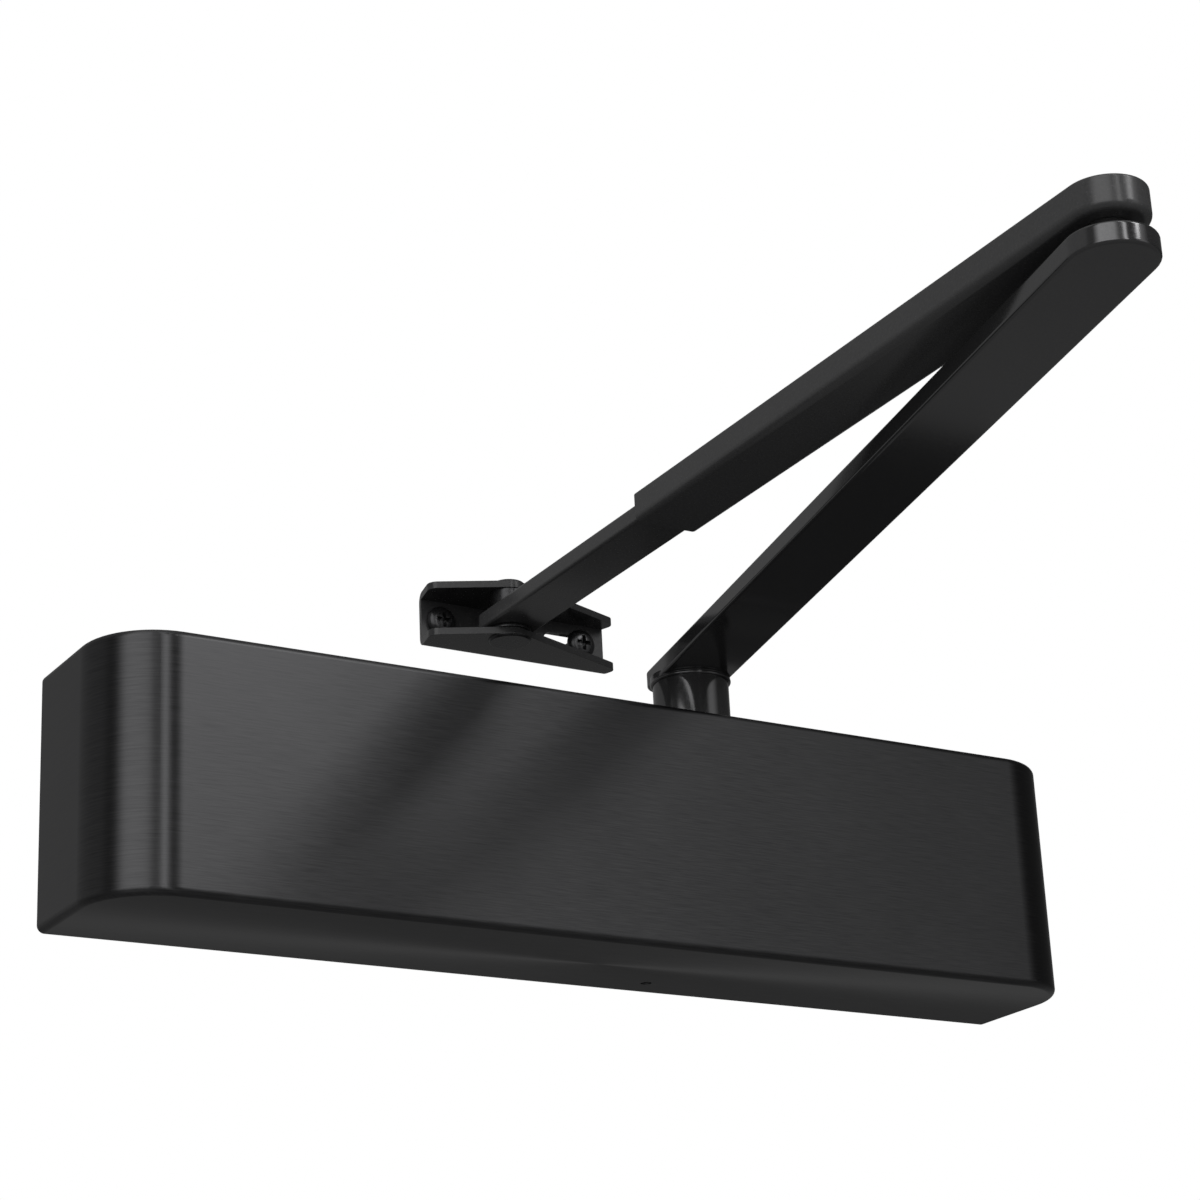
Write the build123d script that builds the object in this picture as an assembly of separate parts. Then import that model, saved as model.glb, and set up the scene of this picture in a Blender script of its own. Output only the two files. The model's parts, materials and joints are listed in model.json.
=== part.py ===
"""Overhead door closer with a two-piece folding arm and a pull-off cover.

X runs along the closer, Z is up and the door face is the plane Y = 0, with the closer on
its -Y side. The origin is the middle of the four door fixing holes, on the door face.
Sizes are in millimetres. The arms stand as they do when the door has just closed.
"""

import os
from math import atan2, ceil, cos, degrees, pi, radians, sin, sqrt, tan

from build123d import *

# Fits
running_fit = 0.05          # radial gap of a shaft in its hole
thread_fit = 0.05           # radial gap of a plain thread in its hole
cover_gap = 0.3             # cover to what it slides over
seat_gap = 0.05             # faces that turn on each other

# Cover
cover_length = 300.0
cover_height = 68.4
cover_front_gap = 1.4       # body to the cover's front, inside
cover_corner_radius = 20.0
cover_wall = 1.5
cover_edge_radius = 2.0
cover_slot_clearance = 1.6  # round the arm's boss
cover_screw_radius = 1.5
cover_screw_x = 24.0
cover_screw_y = -9.0
cover_screw_sunk = 0.3

# Mounting plate
plate_thickness = 3.0
plate_end_gap = 6.0         # plate end to the cover's end, outside
plate_corner_radius = 4.0
door_hole_radius = 3.0
door_hole_inset = 12.0      # from the plate's end
door_hole_pitch_z = 40.0
tab_width = 16.0
tab_depth = 11.0
tab_thickness = 2.0

# Cover clips
clip_thickness = 1.5
clip_height = 24.0
clip_reach = 20.0
clip_rivet_radius = 1.6
clip_rivet_pitch = 14.0

# Hydraulic body
body_depth = 40.0
body_height = 58.0
body_corner_radius = 5.0
cylinder_radius = 16.0
cap_thread_radius = 17.5
cap_length = 12.0
cap_rim = 3.0
cap_rim_radius = 18.8
lug_length = 12.0
lug_thickness = 8.0
lug_screw_pitch_z = 44.0
body_screw_radius = 2.5
body_screw_head_radius = 4.25
body_screw_head_height = 5.0

# Spindle and its bearings
spindle_x = 35.3
journal_radius = 7.9
spindle_bore_radius = 12.5
bearing_length = 5.6
gland_length = 7.0
gland_rim = 1.2
gland_rim_radius = 14.5
seal_radius = 10.8
seal_length = 4.0
square_side = 10.0
square_tail = 1.8

# Rack and pinion
gear_module = 1.6
pinion_teeth = 10
pressure_angle = radians(25.0)
tooth_addendum = 1.35
tooth_dedendum = 1.9
tooth_backlash = 0.22
swing_closed = radians(-15.0)   # spindle turn from the rest pose to the piston's end stop
swing_open = radians(165.0)

# Piston
piston_fit = 0.04
piston_head = 14.0
piston_side_gap = 1.2       # pinion teeth to the plain side and ends of the slot
seal_groove_width = 2.4
seal_groove_depth = 1.6
end_stop_gap = 0.8
check_ball_radius = 2.4
check_port_radius = 1.2

# Spring and power adjuster
spring_wire = 4.8
spring_radius = 12.3        # centre line
spring_rest_length = 96.0
spring_turns = 10.0
spring_grind = 0.1          # left between the ground ends and their seats
spigot_length = 5.0
spigot_gap = 0.5
seat_thickness = 6.0
seat_travel = 6.0           # each way
adjuster_radius = 4.0
adjuster_head_radius = 5.0
adjuster_collar_radius = 7.0
adjuster_collar = 3.0
adjuster_key = 5.0

# Valve screws
valve_radius = 3.0
valve_length = 16.0
valve_needle = 5.0
valve_y = 12.0              # off the cylinder's axis
valve_z = 23.5
valve_key = 2.5

# Main arm
arm_length = 263.2          # spindle to knuckle
arm_width = 20.8
arm_thickness = 5.3
arm_angle = radians(-103.2)
arm_above_cover = 17.1
arm_edge_radius = 0.9
arm_heel = 11.6             # past the spindle's axis
arm_heel_radius = 5.0
boss_radius = 10.85
boss_collar = 1.1
boss_collar_lip = 0.55
boss_clearance = 0.6        # over the cover
square_into_arm = 1.6
arm_screw_radius = 3.0
arm_screw_head_radius = 6.4
arm_screw_length = 16.0
arm_screw_key = 4.0

# Knuckle
knuckle_gap = 3.4
knuckle_pin_radius = 4.0
knuckle_pin_floor = 1.0     # arm left under the pressed-in pin
knuckle_head_radius = 5.2
knuckle_head = 2.0
knuckle_washer_radius = 5.4
knuckle_washer_waist = 4.9

# Forearm: outer channel and sliding bar
forearm_length = 263.4      # knuckle to shoe pin
forearm_angle = radians(88.85)
sleeve_width = 18.8
sleeve_height = 8.0
sleeve_length = 178.3       # past the knuckle
sleeve_wall = 1.6
sleeve_web = 1.3
sleeve_slot = 11.0
sleeve_bottom_radius = 2.0
sleeve_top_radius = 0.8
bar_width = 15.4
bar_thickness = 4.8
bar_overlap = 75.0
bar_end = 7.8               # past the shoe pin
bar_end_radius = 5.5
bar_edge_radius = 0.9
bridge_length = 16.0
bridge_width = 13.0
bridge_thickness = 1.5
bridge_inset = 6.0
clamp_screw_radius = 3.0
clamp_screw_stand = 3.2
clamp_screw_key = 3.0

# Shoe
shoe_sheet = 2.0
shoe_height = 15.8
shoe_washer = 0.95
shoe_washer_radius = 6.0
shoe_pin_radius = 3.5
shoe_head_radius = 6.1
shoe_head = 0.8
shoe_tail_radius = 5.0
shoe_back = 16.0            # pin to the wall face
shoe_left = 19.8            # pin to the plate's left end
shoe_right = 38.5
shoe_nose = 5.3             # flange metal round the pin
shoe_left_lobe = (-18.8, 6.9, 3.0)
shoe_right_lobe = (37.5, 10.9, 2.5)
shoe_bend_radius = 2.9
shoe_bush_radius = 5.0
shoe_hole_left = -14.2
shoe_slot_start = 19.3
shoe_slot_end = 34.2
shoe_screw_right = 31.4
shoe_screw_radius = 2.4
shoe_screw_neck = 2.1       # under the head, through the sheet
shoe_screw_length = 8.0
shoe_screw_head_radius = 4.4
shoe_screw_head = 2.6
shoe_slot_half_height = 2.5

# Places that follow from the sizes above
cover_depth = plate_thickness + body_depth + cover_front_gap + cover_wall
cover_top = cover_height / 2
cover_inside = cover_top - cover_wall
plate_length = cover_length - 2 * plate_end_gap
plate_height = 2 * (cover_inside - cover_gap)
door_hole_x = plate_length / 2 - door_hole_inset
body_front = -(plate_thickness + body_depth)
spindle_y = -(plate_thickness + body_depth / 2)
body_top = body_height / 2
gland_top = body_top + gland_rim
arm_bottom = cover_top + arm_above_cover
arm_top = arm_bottom + arm_thickness
boss_bottom = cover_top + boss_clearance
square_top = arm_bottom + square_into_arm

pitch_radius = gear_module * pinion_teeth / 2
pinion_tip = pitch_radius + tooth_addendum
pinion_root = pitch_radius - tooth_dedendum
rack_pitch = pi * gear_module
piston_radius = cylinder_radius - piston_fit
piston_half = cylinder_radius - 0.8
piston_back_travel = -swing_closed * pitch_radius
piston_travel = swing_open * pitch_radius
slot_left = spindle_x - piston_back_travel - pinion_tip - piston_side_gap
slot_right = spindle_x + piston_travel + pinion_tip + piston_side_gap
piston_left = slot_left - piston_head
piston_right = slot_right + piston_head
right_cap_face = piston_right + piston_back_travel + end_stop_gap
body_right = right_cap_face + cap_length
seat_right = piston_left - spring_rest_length
seat_left = seat_right - seat_thickness
left_cap_face = seat_left - seat_travel - adjuster_collar - end_stop_gap
body_left = left_cap_face - cap_length

knuckle_x = spindle_x + arm_length * cos(arm_angle)
knuckle_y = spindle_y + arm_length * sin(arm_angle)
sleeve_bottom = arm_top + knuckle_gap
sleeve_top = sleeve_bottom + sleeve_height
bar_bottom = sleeve_bottom + sleeve_web + seat_gap
bar_top = bar_bottom + bar_thickness
shoe_x = knuckle_x + forearm_length * cos(forearm_angle)
shoe_y = knuckle_y + forearm_length * sin(forearm_angle)
shoe_bottom = bar_bottom - shoe_washer - shoe_sheet - 2 * seat_gap
shoe_top = shoe_bottom + shoe_height
shoe_mid_z = (shoe_bottom + shoe_top) / 2
forearm_place = Pos(knuckle_x, knuckle_y, 0) * Rot(0, 0, degrees(forearm_angle))
arm_place = Pos(spindle_x, spindle_y, 0) * Rot(0, 0, degrees(arm_angle))


def block(x0, x1, y0, y1, z0, z1):
    """A box between two corners."""
    return Pos((x0 + x1) / 2, (y0 + y1) / 2, (z0 + z1) / 2) * Box(x1 - x0, y1 - y0, z1 - z0)


def post(x, y, z0, z1, radius, top_radius=None):
    """A cylinder, or a cone, standing along Z."""
    if top_radius is None:
        return Pos(x, y, (z0 + z1) / 2) * Cylinder(radius, z1 - z0)
    return Pos(x, y, (z0 + z1) / 2) * Cone(radius, top_radius, z1 - z0)


def bar_x(y, z, x0, x1, radius, end_radius=None):
    """A cylinder, or a cone, lying along X."""
    place = Pos((x0 + x1) / 2, y, z) * Rot(0, 90, 0)
    if end_radius is None:
        return place * Cylinder(radius, x1 - x0)
    return place * Cone(radius, end_radius, x1 - x0)


def bar_y(x, z, y0, y1, radius, end_radius=None):
    """A cylinder, or a cone, lying along Y."""
    place = Pos(x, (y0 + y1) / 2, z) * Rot(-90, 0, 0)
    if end_radius is None:
        return place * Cylinder(radius, y1 - y0)
    return place * Cone(radius, end_radius, y1 - y0)


def slab(outline, z0, z1):
    """A plan outline, raised from z0 to z1."""
    return extrude(Pos(0, 0, z0) * outline, z1 - z0, dir=(0, 0, 1))


def hexagon(across_flats):
    return RegularPolygon(across_flats / 2, 6, major_radius=False)


def edges_at(solid, z):
    """The edges that lie flat at height z."""
    return [e for e in solid.edges() if all(abs(v.Z - z) < 0.01 for v in e.vertices())
            and abs(e.center().Z - z) < 0.01]


def save(name, *solids):
    """Write one node, as one solid or as a group of separate ones."""
    flat = [s for solid in solids for s in solid.solids()]
    shape = flat[0] if len(flat) == 1 else Compound(children=flat)
    shape.label = name
    export_step(shape, f"parts/{name}.step")


def cover_outline(inset):
    """The cover in plan: square at the door, with rounded front corners."""
    half = cover_length / 2 - inset
    front = -cover_depth + inset
    radius = cover_corner_radius - inset
    sketch = Polygon((-half, 0), (-half, front), (half, front), (half, 0), align=None)
    corners = [v for v in sketch.vertices() if v.Y < front + 1]
    return fillet(corners, radius)


def make_cover():
    shell = slab(cover_outline(0), -cover_top, cover_top)
    rims = [e for z in (-cover_top, cover_top) for e in edges_at(shell, z)
            if e.center().Y < -1]
    shell = fillet(rims, cover_edge_radius)
    shell -= slab(cover_outline(cover_wall), -cover_inside, cover_inside)
    slot_radius = boss_radius + cover_slot_clearance
    slot = post(spindle_x, spindle_y, cover_inside - 1, cover_top + 1, slot_radius)
    slot += block(spindle_x - slot_radius, spindle_x + slot_radius, spindle_y, 1,
                  cover_inside - 1, cover_top + 1)
    shell -= slot
    hole = post(cover_screw_x, cover_screw_y, -cover_top - 1, -cover_inside + 1,
                cover_screw_radius + thread_fit)
    save("cover", shell - hole)

    bottom = -cover_top + cover_screw_sunk
    screw = post(cover_screw_x, cover_screw_y, bottom, -plate_height / 2 + tab_thickness,
                 cover_screw_radius)
    key = extrude(Pos(cover_screw_x, cover_screw_y, bottom) * hexagon(cover_screw_radius), 1.5)
    save("cover_screw", screw - key)


def make_plate():
    """Steel plate with four door holes, four tapped holes and a notched tab below."""
    plate = block(-plate_length / 2, plate_length / 2, -plate_thickness, 0,
                  -plate_height / 2, plate_height / 2)
    plate = fillet(plate.edges().filter_by(Axis.Y), plate_corner_radius)
    for x in (-door_hole_x, door_hole_x):
        for z in (-door_hole_pitch_z / 2, door_hole_pitch_z / 2):
            plate -= bar_y(x, z, -plate_thickness - 1, 1, door_hole_radius)
    for x, z in lug_screw_places():
        plate -= bar_y(x, z, -plate_thickness - 1, 1, body_screw_radius + thread_fit)
    for x, z in clip_rivet_places():
        plate -= bar_y(x, z, -plate_thickness - 1, 1, clip_rivet_radius + thread_fit)
    low = -plate_height / 2
    tab_front = -plate_thickness - tab_depth
    tab = block(cover_screw_x - tab_width / 2, cover_screw_x + tab_width / 2, tab_front,
                -plate_thickness, low, low + tab_thickness)
    notch_half = cover_screw_radius + thread_fit
    notch = post(cover_screw_x, cover_screw_y, low - 1, low + tab_thickness + 1, notch_half)
    notch += block(cover_screw_x - notch_half, cover_screw_x + notch_half, tab_front - 1,
                   cover_screw_y, low - 1, low + tab_thickness + 1)
    save("mounting_plate", plate + (tab - notch))


def lug_screw_places():
    rows = (-lug_screw_pitch_z / 2, lug_screw_pitch_z / 2)
    columns = (body_left - lug_length / 2, body_right + lug_length / 2)
    return [(x, z) for x in columns for z in rows]


def clip_foot():
    """Inner and outer ends of a cover clip, measured from the middle of the cover."""
    outer = cover_length / 2 - cover_wall - cover_gap
    return outer - 12.0, outer


def clip_rivet_places():
    inner, outer = clip_foot()
    x = (inner + plate_length / 2) / 2
    rows = (-clip_rivet_pitch / 2, clip_rivet_pitch / 2)
    return [(side * x, z) for side in (-1, 1) for z in rows]


def make_clips():
    """Sprung angle strips that grip the cover's ends, riveted to the plate."""
    inner, outer = clip_foot()
    half = clip_height / 2
    foot_front = -plate_thickness - clip_thickness
    clips = []
    for side in (-1, 1):
        foot = block(inner, outer, foot_front, -plate_thickness, -half, half)
        leg = block(outer - clip_thickness, outer, foot_front - clip_reach, foot_front,
                    -half, half)
        clip = foot + leg
        clip = fillet(clip.edges().filter_by(Axis.Y).filter_by_position(
            Axis.X, inner - 0.1, inner + 0.1), 2.0)
        if side < 0:
            clip = mirror(clip, Plane.YZ)
        for x, z in clip_rivet_places():
            clip -= bar_y(x, z, foot_front - 1, 1, clip_rivet_radius + thread_fit)
        clips.append(clip)
    save("cover_clips", *clips)

    rivets = []
    for x, z in clip_rivet_places():
        shank = bar_y(x, z, foot_front, 0, clip_rivet_radius)
        head = bar_y(x, z, foot_front - 1.2, foot_front, 1.6 * clip_rivet_radius,
                     1.9 * clip_rivet_radius)
        rivets.append(shank + head)
    save("clip_rivets", *rivets)


def valve_places():
    """Closing, latching and backcheck valves, as offsets from the cylinder's axis."""
    return {"closing_valve": (-valve_y, valve_z), "latching_valve": (valve_y, valve_z),
            "backcheck_valve": (-valve_y, -valve_z)}


def make_body():
    """Cast housing, bored along X for the piston and along Z for the spindle."""
    body = block(body_left, body_right, body_front, -plate_thickness, -body_top, body_top)
    body = fillet(body.edges().filter_by(Axis.X), body_corner_radius)
    lug_front = -plate_thickness - lug_thickness
    for start, end in ((body_left - lug_length, body_left), (body_right, body_right + lug_length)):
        lug = block(start, end, lug_front, -plate_thickness, -body_top + 2, body_top - 2)
        outer = start if start < body_left else end
        lug = fillet(lug.edges().filter_by(Axis.Y).filter_by_position(
            Axis.X, outer - 0.1, outer + 0.1), 4.0)
        body += lug
    body -= bar_x(spindle_y, 0, body_left - 1, body_right + 1, cylinder_radius)
    body -= bar_x(spindle_y, 0, body_left - lug_length - 1, left_cap_face, cap_thread_radius)
    body -= bar_x(spindle_y, 0, right_cap_face, body_right + lug_length + 1, cap_thread_radius)
    rim_room = cap_rim_radius + 0.5
    body -= bar_x(spindle_y, 0, body_left - lug_length - 1, body_left, rim_room)
    body -= bar_x(spindle_y, 0, body_right, body_right + lug_length + 1, rim_room)
    body -= post(spindle_x, spindle_y, -body_top - 1, body_top + 1, spindle_bore_radius)
    for x, z in lug_screw_places():
        body -= bar_y(x, z, lug_front - 1, 1, body_screw_radius + 0.2)
    for y, z in valve_places().values():
        hole_y = spindle_y + y
        body -= bar_x(hole_y, z, body_right - valve_length + valve_needle - 0.4, body_right + 1,
                      valve_radius + running_fit)
        body -= bar_x(hole_y, z, body_right - valve_length - 1, body_right, 0.45 * valve_radius)
    save("closer_body", body)

    screws = []
    for x, z in lug_screw_places():
        shank = bar_y(x, z, lug_front, -0.2, body_screw_radius)
        head = bar_y(x, z, lug_front - body_screw_head_height, lug_front,
                     body_screw_head_radius)
        key = Pos(x, lug_front - body_screw_head_height, z) * Rot(-90, 0, 0) * hexagon(4.0)
        screws.append(shank + head - extrude(key, 3.0, dir=(0, 1, 0)))
    save("body_screws", *screws)


def make_end_caps():
    """Threaded caps with a groove and seal ring each; the left one carries the adjuster."""
    thread = cap_thread_radius - thread_fit
    groove_bottom = thread - seal_groove_depth
    rings = []
    for name, face, side in (("left_end_cap", left_cap_face, -1),
                             ("right_end_cap", right_cap_face, 1)):
        shoulder = face + side * cap_length
        outer = shoulder + side * cap_rim
        cap = bar_x(spindle_y, 0, min(face, shoulder), max(face, shoulder), thread)
        cap += bar_x(spindle_y, 0, min(shoulder, outer), max(shoulder, outer), cap_rim_radius)
        middle = face + side * 4.0
        near, far = middle - seal_groove_width / 2, middle + seal_groove_width / 2
        ring_space = (bar_x(spindle_y, 0, near, far, cap_thread_radius + 1)
                      - bar_x(spindle_y, 0, near - 1, far + 1, groove_bottom))
        cap -= ring_space
        rings.append(bar_x(spindle_y, 0, near + 0.1, far - 0.1, cap_thread_radius - 0.02)
                     - bar_x(spindle_y, 0, near - 1, far + 1, groove_bottom + 0.02))
        if side < 0:
            cap -= bar_x(spindle_y, 0, outer - 1, face + 1, adjuster_head_radius + running_fit)
            cap -= bar_x(spindle_y, 0, face - 0.1, face + 1, adjuster_collar_radius + 0.5)
        for turn in range(4):
            angle = radians(45 + 90 * turn)
            y = spindle_y + 0.72 * cap_rim_radius * cos(angle)
            z = 0.72 * cap_rim_radius * sin(angle)
            cap -= bar_x(y, z, min(outer - side * 3.5, outer + side), max(
                outer - side * 3.5, outer + side), 2.0)
        save(name, cap)
    save("end_cap_rings", *rings)


def make_adjuster():
    """Screw held by the left cap, which draws the spring seat along."""
    head_end = left_cap_face - cap_length - cap_rim + 0.4
    collar_start = left_cap_face + 0.1
    screw = bar_x(spindle_y, 0, head_end, collar_start, adjuster_head_radius)
    screw += bar_x(spindle_y, 0, collar_start, collar_start + adjuster_collar,
                   adjuster_collar_radius)
    tip = seat_right + spigot_length + seat_travel + 2
    screw += bar_x(spindle_y, 0, collar_start, tip, adjuster_radius)
    key = Pos(head_end, spindle_y, 0) * Rot(0, 90, 0) * hexagon(adjuster_key)
    save("power_adjuster", screw - extrude(key, 5.0, dir=(1, 0, 0)))

    spigot_radius = spring_radius - spring_wire / 2 - spigot_gap
    seat = bar_x(spindle_y, 0, seat_left, seat_right, piston_radius)
    seat += bar_x(spindle_y, 0, seat_right, seat_right + spigot_length, spigot_radius)
    seat -= bar_x(spindle_y, 0, seat_left - 1, seat_right + spigot_length + 1,
                  adjuster_radius + thread_fit)
    save("spring_seat", seat)


def make_spring():
    """Compression spring, its ends ground flat."""
    wire = spring_wire / 2
    rise = spring_rest_length
    path = Helix(rise / spring_turns, rise, spring_radius)
    section = Plane(path @ 0, z_dir=path % 0) * Circle(wire)
    coil = sweep(section, path, is_frenet=True)
    room = Pos(0, 0, rise / 2) * Cylinder(spring_radius + spring_wire, rise - 2 * spring_grind)
    place = Pos(seat_right, spindle_y, 0) * Rot(0, 90, 0)
    save("spring", place * (coil & room))


def rack_cutter():
    """Everything the rack side of the piston loses: slot air plus the tooth spaces."""
    pitch_line = spindle_y + pitch_radius
    tip = pitch_line - tooth_addendum
    root = pitch_line + tooth_dedendum
    half_tall = cylinder_radius + 1
    front = spindle_y - pinion_tip - piston_side_gap
    cutter = block(slot_left, slot_right, front, tip, -half_tall, half_tall)
    slope = tan(pressure_angle)
    space = rack_pitch / 2 + tooth_backlash / 2
    wide = space / 2 + tooth_addendum * slope
    narrow = space / 2 - tooth_dedendum * slope
    first = ceil((slot_left + wide - spindle_x) / rack_pitch)
    last = int((slot_right - wide - spindle_x) / rack_pitch)
    for step in range(first, last + 1):
        x = spindle_x + step * rack_pitch
        outline = Polygon((x - wide, tip), (x + wide, tip), (x + narrow, root),
                          (x - narrow, root), align=None)
        cutter += slab(outline, -half_tall, half_tall)
    return cutter


def make_piston():
    piston = bar_x(spindle_y, 0, piston_left, piston_right, piston_radius)
    spigot_radius = spring_radius - spring_wire / 2 - spigot_gap
    piston += bar_x(spindle_y, 0, piston_left - spigot_length, piston_left, spigot_radius)
    piston -= rack_cutter()
    rings = []
    for middle in (piston_left + piston_head / 2, piston_right - piston_head / 2):
        near, far = middle - seal_groove_width / 2, middle + seal_groove_width / 2
        bottom = piston_radius - seal_groove_depth
        piston -= (bar_x(spindle_y, 0, near, far, piston_radius + 1)
                   - bar_x(spindle_y, 0, near - 1, far + 1, bottom))
        rings.append(bar_x(spindle_y, 0, near + 0.05, far - 0.05, cylinder_radius - 0.02)
                     - bar_x(spindle_y, 0, near - 1, far + 1, bottom + 0.02))
    ball_x = piston_right - check_ball_radius - 2.5
    piston -= bar_x(spindle_y, 0, slot_right - 1, piston_right + 1, check_port_radius)
    piston -= bar_x(spindle_y, 0, ball_x, piston_right + 1, check_ball_radius + 0.1)
    piston -= Pos(ball_x, spindle_y, 0) * Sphere(check_ball_radius + 0.1)
    save("piston", piston)
    save("piston_rings", *rings)
    save("check_ball", Pos(ball_x, spindle_y, 0) * Sphere(check_ball_radius))
    plug = bar_x(spindle_y, 0, ball_x + check_ball_radius + 0.2, piston_right - 0.2,
                 check_ball_radius + 0.05)
    plug -= bar_x(spindle_y, 0, ball_x, piston_right + 1, check_port_radius)
    save("check_valve_plug", plug)


def pinion_outline():
    """Pinion in plan, with one tooth pointing at the rack."""
    base = pitch_radius * cos(pressure_angle)
    tooth = rack_pitch / 2 - tooth_backlash / 2
    half_at_pitch = tooth / 2 / pitch_radius
    spread = tan(pressure_angle) - pressure_angle

    def half_angle(radius):
        roll = sqrt(max((radius / base) ** 2 - 1, 0))
        return half_at_pitch + spread - (roll - atan2(roll, 1))

    radii = [base + (pinion_tip - base) * k / 5 for k in range(6)]
    outline = Circle(pinion_root)
    for number in range(pinion_teeth):
        middle = pi / 2 + 2 * pi * number / pinion_teeth
        left = [(r * cos(middle + half_angle(r)), r * sin(middle + half_angle(r)))
                for r in radii]
        right = [(r * cos(middle - half_angle(r)), r * sin(middle - half_angle(r)))
                 for r in reversed(radii)]
        foot = half_angle(base)
        inner = 0.8 * pinion_root
        start = (inner * cos(middle + foot), inner * sin(middle + foot))
        end = (inner * cos(middle - foot), inner * sin(middle - foot))
        outline += Polygon(start, *left, *right, end, align=None)
    return outline


def make_spindle():
    """Pinion shaft with a square at each end, its bearings, glands and seals."""
    half_pinion = piston_half
    spindle = post(spindle_x, spindle_y, -gland_top, gland_top, journal_radius)
    spindle -= post(spindle_x, spindle_y, -half_pinion, half_pinion, journal_radius + 1)
    spindle += slab(Pos(spindle_x, spindle_y) * pinion_outline(), -half_pinion, half_pinion)
    square = Pos(spindle_x, spindle_y) * Rot(0, 0, degrees(arm_angle)) * Rectangle(
        square_side, square_side)
    spindle += slab(square, gland_top, square_top)
    spindle += slab(square, -gland_top - square_tail, -gland_top)
    spindle -= post(spindle_x, spindle_y, square_top - arm_screw_length, square_top + 1,
                    arm_screw_radius + thread_fit)
    save("spindle", spindle)

    bearing_start = cylinder_radius + 0.3
    bearing_end = bearing_start + bearing_length
    bearings, seals = [], []
    for name, side in (("top_gland", 1), ("bottom_gland", -1)):
        def ring(low, high, outer, inner):
            low, high = sorted((side * low, side * high))
            return (post(spindle_x, spindle_y, low, high, outer)
                    - post(spindle_x, spindle_y, low - 1, high + 1, inner))
        shaft_hole = journal_radius + running_fit
        fitted = spindle_bore_radius - thread_fit
        bearings.append(ring(bearing_start, bearing_end, fitted, shaft_hole))
        gland_start = body_top - gland_length
        gland = ring(gland_start, body_top, fitted, shaft_hole + 0.1)
        gland += ring(body_top, gland_top, gland_rim_radius, shaft_hole + 0.1)
        seal_start = gland_start + 0.8
        gland -= ring(seal_start, seal_start + seal_length, seal_radius, shaft_hole)
        for turn in range(6):
            angle = radians(60 * turn + 30)
            x = spindle_x + 11.6 * cos(angle)
            y = spindle_y + 11.6 * sin(angle)
            low, high = sorted((side * (gland_top - 2.0), side * (gland_top + 1)))
            gland -= post(x, y, low, high, 1.2)
        save(name, gland)
        seals.append(ring(seal_start + 0.05, seal_start + seal_length - 0.05,
                          seal_radius - 0.03, shaft_hole))
    save("spindle_bearings", *bearings)
    save("spindle_seals", *seals)


def make_valves():
    """Needle screws in the right-hand end of the body, with a seal ring on each."""
    rings = []
    for name, (y, z) in valve_places().items():
        y += spindle_y
        head = body_right - 0.5
        stem_end = body_right - valve_length + valve_needle
        screw = bar_x(y, z, stem_end, head, valve_radius)
        screw += bar_x(y, z, body_right - valve_length, stem_end, 0.4, 0.4 * valve_radius)
        near = head - 5.0
        screw -= (bar_x(y, z, near, near + 1.4, valve_radius + 1)
                  - bar_x(y, z, near - 1, near + 3, valve_radius - 0.9))
        rings.append(bar_x(y, z, near + 0.05, near + 1.35, valve_radius + running_fit - 0.02)
                     - bar_x(y, z, near - 1, near + 3, valve_radius - 0.88))
        key = Pos(head - 2.5, y, z) * Rot(0, 90, 0) * hexagon(valve_key)
        save(name, screw - extrude(key, 3.5, dir=(1, 0, 0)))
    save("valve_rings", *rings)


def arm_outline():
    """The arm in plan: a square heel with rounded corners, and a round knuckle end."""
    outline = Pos((arm_length - arm_heel) / 2, 0) * Rectangle(arm_length + arm_heel, arm_width)
    corners = [v for v in outline.vertices() if v.X < 0]
    return fillet(corners, arm_heel_radius) + Pos(arm_length, 0) * Circle(arm_width / 2)


def make_main_arm():
    """Flat arm with a turned boss under its spindle end, and the screw that holds it."""
    arm = slab(arm_outline(), arm_bottom, arm_top)
    arm = fillet(edges_at(arm, arm_bottom) + edges_at(arm, arm_top), arm_edge_radius)
    arm += post(0, 0, boss_bottom, arm_bottom + 1.5, boss_radius)
    arm += post(0, 0, arm_bottom - boss_collar, arm_bottom + 1.5,
                boss_radius + boss_collar_lip)
    hole = Rectangle(square_side + 2 * running_fit, square_side + 2 * running_fit)
    arm -= slab(hole, boss_bottom - 1, square_top + 0.2)
    arm -= post(0, 0, square_top, arm_top + 1, arm_screw_radius + thread_fit)
    sink = arm_screw_head_radius - arm_screw_radius
    head_top = arm_top - 0.2
    arm -= post(0, 0, head_top - sink, head_top, arm_screw_radius + thread_fit,
                arm_screw_head_radius + thread_fit)
    arm -= post(0, 0, head_top - 0.001, arm_top + 1, arm_screw_head_radius + thread_fit)
    arm -= post(arm_length, 0, arm_bottom + knuckle_pin_floor, arm_top + 1,
                knuckle_pin_radius + thread_fit)
    save("main_arm", arm_place * arm)

    screw = post(0, 0, square_top - arm_screw_length + 1, head_top - sink, arm_screw_radius)
    screw += post(0, 0, head_top - sink, head_top, arm_screw_radius, arm_screw_head_radius)
    screw -= slab(hexagon(arm_screw_key), head_top - 2.2, head_top + 1)
    save("arm_screw", arm_place * screw)


def make_knuckle():
    pin_top = sleeve_bottom + sleeve_web + seat_gap
    pin = post(knuckle_x, knuckle_y, arm_bottom + knuckle_pin_floor + seat_gap, pin_top,
               knuckle_pin_radius)
    pin += post(knuckle_x, knuckle_y, pin_top, pin_top + knuckle_head, knuckle_head_radius,
                knuckle_head_radius - 1.2)
    save("knuckle_pin", pin)
    low, high = arm_top, sleeve_bottom - seat_gap
    split = (low + high) / 2
    washer = post(knuckle_x, knuckle_y, low, split, knuckle_washer_radius)
    washer += post(knuckle_x, knuckle_y, split, high, knuckle_washer_waist)
    washer -= post(knuckle_x, knuckle_y, low - 1, high + 1, knuckle_pin_radius + thread_fit)
    save("knuckle_washer", washer)


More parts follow.
